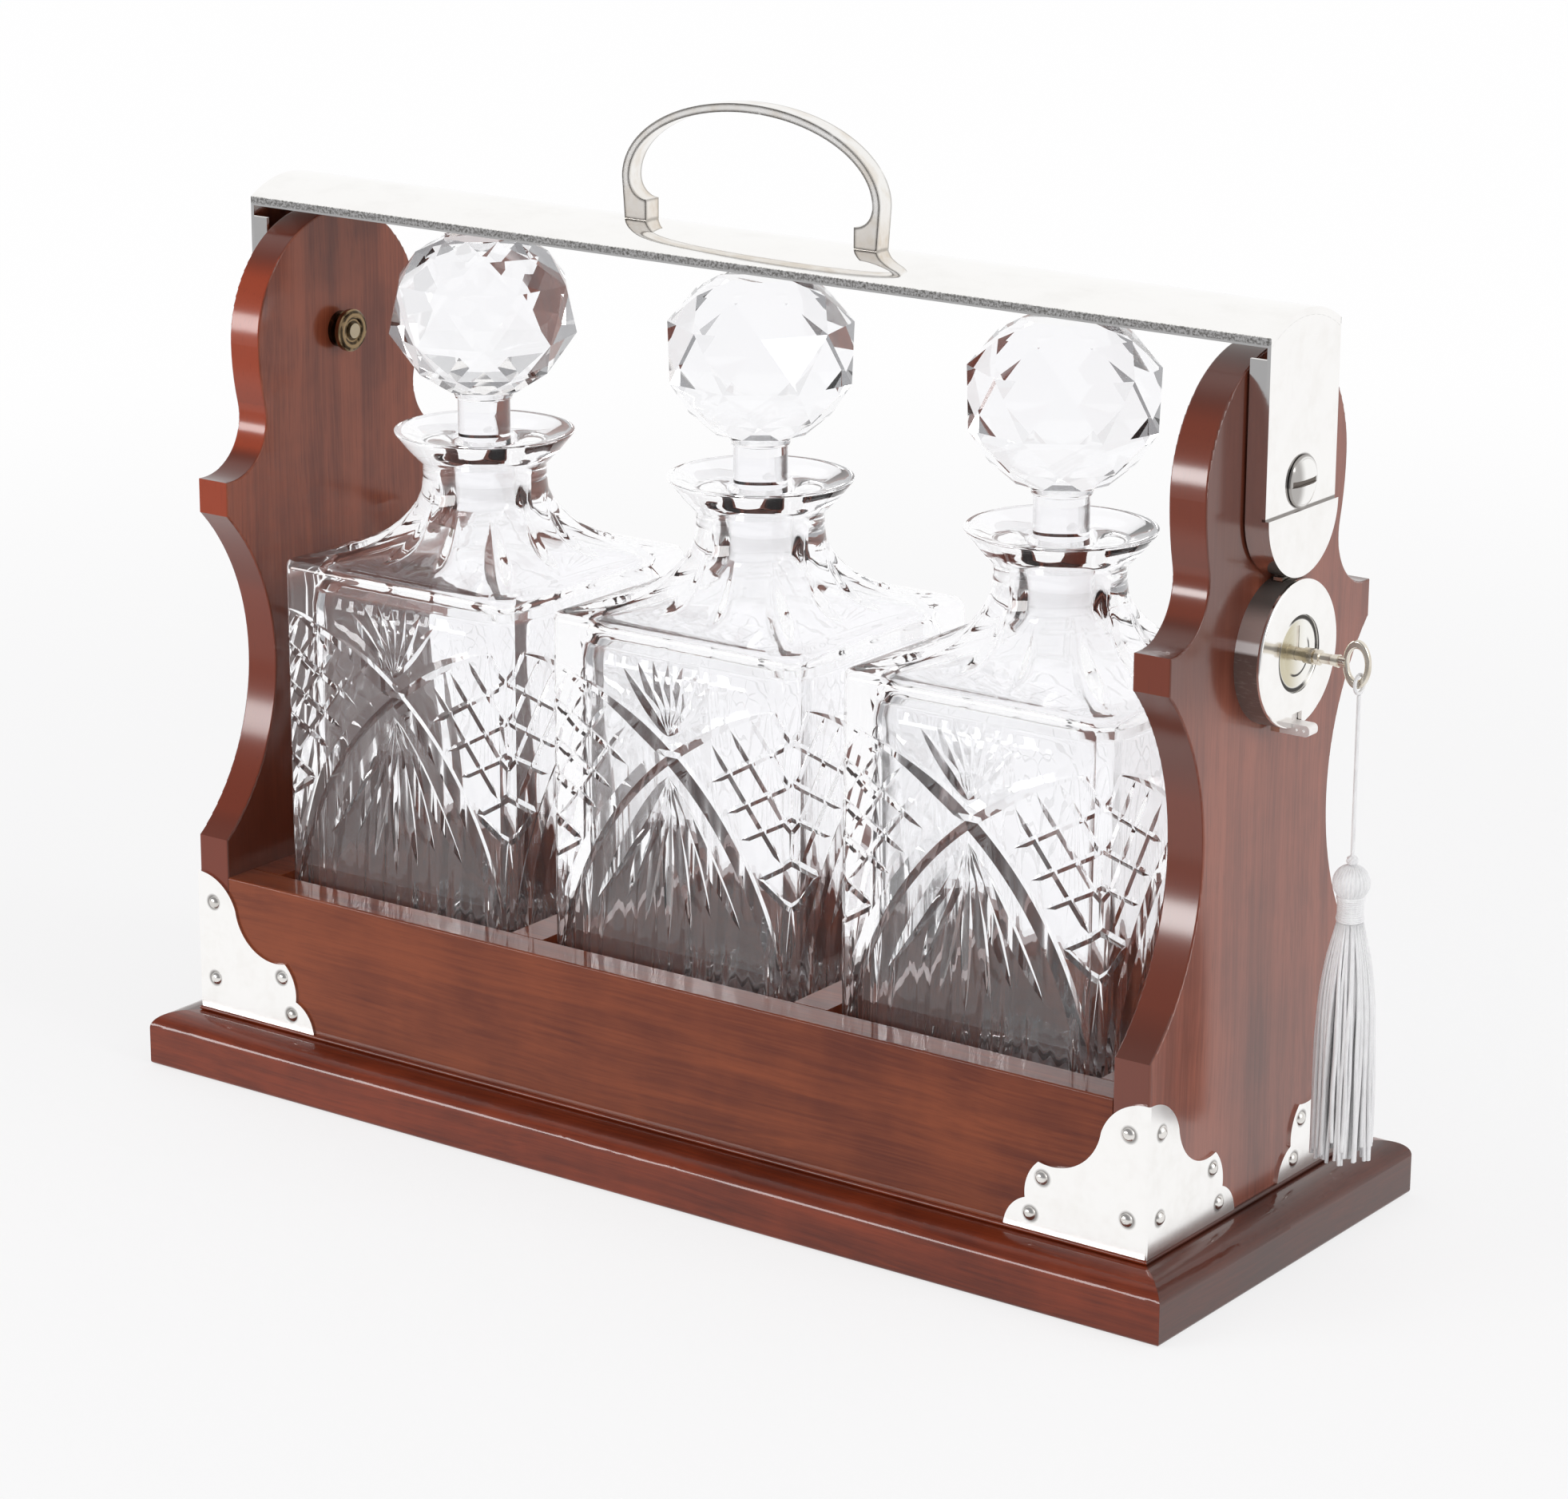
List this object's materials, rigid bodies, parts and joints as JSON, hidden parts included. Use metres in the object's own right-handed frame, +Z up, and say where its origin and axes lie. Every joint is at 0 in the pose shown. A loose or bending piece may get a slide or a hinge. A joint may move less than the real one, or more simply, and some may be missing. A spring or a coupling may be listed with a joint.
{
  "type": "tantalus",
  "caption": "Mahogany tantalus with shaped ends, a lockable silver bar and carrying handle over square cut-glass decanters, with a key and silk tassel in the side lock.",
  "frame": {"origin": "centre of the plinth's underside", "axes": "+X along the length towards the lock end, +Y towards the back, +Z up"},
  "size_m": [0.4257, 0.151, 0.3353],
  "materials": {
    "mahogany_plinth": "French-polished mahogany, reddish brown",
    "mahogany_boards": "French-polished mahogany, orange brown",
    "mahogany_panels": "French-polished mahogany, brown",
    "silver_plate": "polished silver plate with light wear",
    "nickel": "worn nickel with a warm cast",
    "brass": "dull old brass",
    "steel": "plain steel",
    "baize": "green wool baize",
    "silk": "silver grey silk thread",
    "cut_glass": "clear deep-cut lead glass",
    "stopper_glass": "clear facet-cut lead glass"
  },
  "bodies": {
    "case": {"plinth": "mahogany_plinth", "base_baize": "baize", "foot_bead": "mahogany_plinth", "plinth_screws": "steel", "floor_board": "mahogany_boards", "front_board": "mahogany_boards", "back_board": "mahogany_boards", "divider_left": "mahogany_boards", "divider_right": "mahogany_boards", "end_liner_left": "mahogany_boards", "end_liner_right": "mahogany_boards", "end_panel_left": "mahogany_panels", "end_panel_right": "mahogany_panels", "corner_mount_front_left": "silver_plate", "corner_mount_front_right": "silver_plate", "corner_mount_back_left": "silver_plate", "corner_mount_back_right": "silver_plate", "mount_pins_front_left": "silver_plate", "mount_pins_front_right": "silver_plate", "mount_pins_back_left": "silver_plate", "mount_pins_back_right": "silver_plate", "pivot_screw_left": "silver_plate", "pivot_screw_right": "silver_plate", "pivot_nut_left": "brass", "pivot_nut_right": "brass", "lock_base_plate": "silver_plate", "lock_drum": "silver_plate", "lock_face_plate": "silver_plate", "lock_screws": "steel", "bolt_guides": "nickel"},
    "bail": {"locking_bar": "silver_plate", "bar_arm_left": "silver_plate", "bar_arm_right": "silver_plate", "arm_rim_left": "silver_plate", "arm_rim_right": "silver_plate", "hasp_plate": "silver_plate", "pivot_bush_left": "brass", "pivot_bush_right": "brass", "carry_handle": "silver_plate", "handle_studs": "silver_plate"},
    "barrel": {"lock_barrel": "nickel"},
    "bolt": {"lock_bolt": "nickel", "thumb_tab": "nickel"},
    "key": {"key": "nickel"},
    "tassel": {"tassel_loop": "silk", "tassel_cord": "silk", "tassel_head": "silk", "tassel_band": "silk", "tassel_skirt": "silk"},
    "decanter_body_left": {"decanter_left": "cut_glass"},
    "stopper_body_left": {"stopper_left": "stopper_glass"},
    "decanter_body_middle": {"decanter_middle": "cut_glass"},
    "stopper_body_middle": {"stopper_middle": "stopper_glass"},
    "decanter_body_right": {"decanter_right": "cut_glass"},
    "stopper_body_right": {"stopper_right": "stopper_glass"}
  },
  "joints": [
    {"name": "bail_swing", "type": "hinge", "parent": "case", "child": "bail", "pos_m": [0, 0, 0.244], "axis": [-1, 0, 0], "range_deg": [0, 95]},
    {"name": "key_turn", "type": "hinge", "parent": "case", "child": "barrel", "pos_m": [0.192, 0, 0.1923], "axis": [1, 0, 0], "range_deg": [0, 90]},
    {"name": "bolt_slide", "type": "slide", "parent": "case", "child": "bolt", "axis": [0, 0, 1], "range_m": [0, 0.0025]},
    {"name": "key_pull", "type": "slide", "parent": "barrel", "child": "key", "axis": [1, 0, 0], "range_m": [0, 0.025]},
    {"name": "tassel_hang", "type": "hinge", "parent": "key", "child": "tassel", "pos_m": [0.216, 0, 0.18652], "axis": [1, 0, 0], "range_deg": [-90, 0]},
    {"name": "decanter_lift_left", "type": "slide", "parent": "case", "child": "decanter_body_left", "axis": [0, 0, 1], "range_m": [0, 0.006]},
    {"name": "stopper_turn_left", "type": "hinge", "parent": "decanter_body_left", "child": "stopper_body_left", "pos_m": [-0.1123, 0, 0.22], "axis": [0, 0, 1], "continuous": true},
    {"name": "decanter_lift_middle", "type": "slide", "parent": "case", "child": "decanter_body_middle", "axis": [0, 0, 1], "range_m": [0, 0.006]},
    {"name": "stopper_turn_middle", "type": "hinge", "parent": "decanter_body_middle", "child": "stopper_body_middle", "pos_m": [0, 0, 0.22], "axis": [0, 0, 1], "continuous": true},
    {"name": "decanter_lift_right", "type": "slide", "parent": "case", "child": "decanter_body_right", "axis": [0, 0, 1], "range_m": [0, 0.006]},
    {"name": "stopper_turn_right", "type": "hinge", "parent": "decanter_body_right", "child": "stopper_body_right", "pos_m": [0.1123, 0, 0.22], "axis": [0, 0, 1], "continuous": true}
  ],
  "couplings": [
    {"joint": "bolt_slide", "follows": "key_turn", "m_per_rad": 0.0015915},
    {"joint": "tassel_hang", "follows": "key_turn", "ratio": -1}
  ]
}
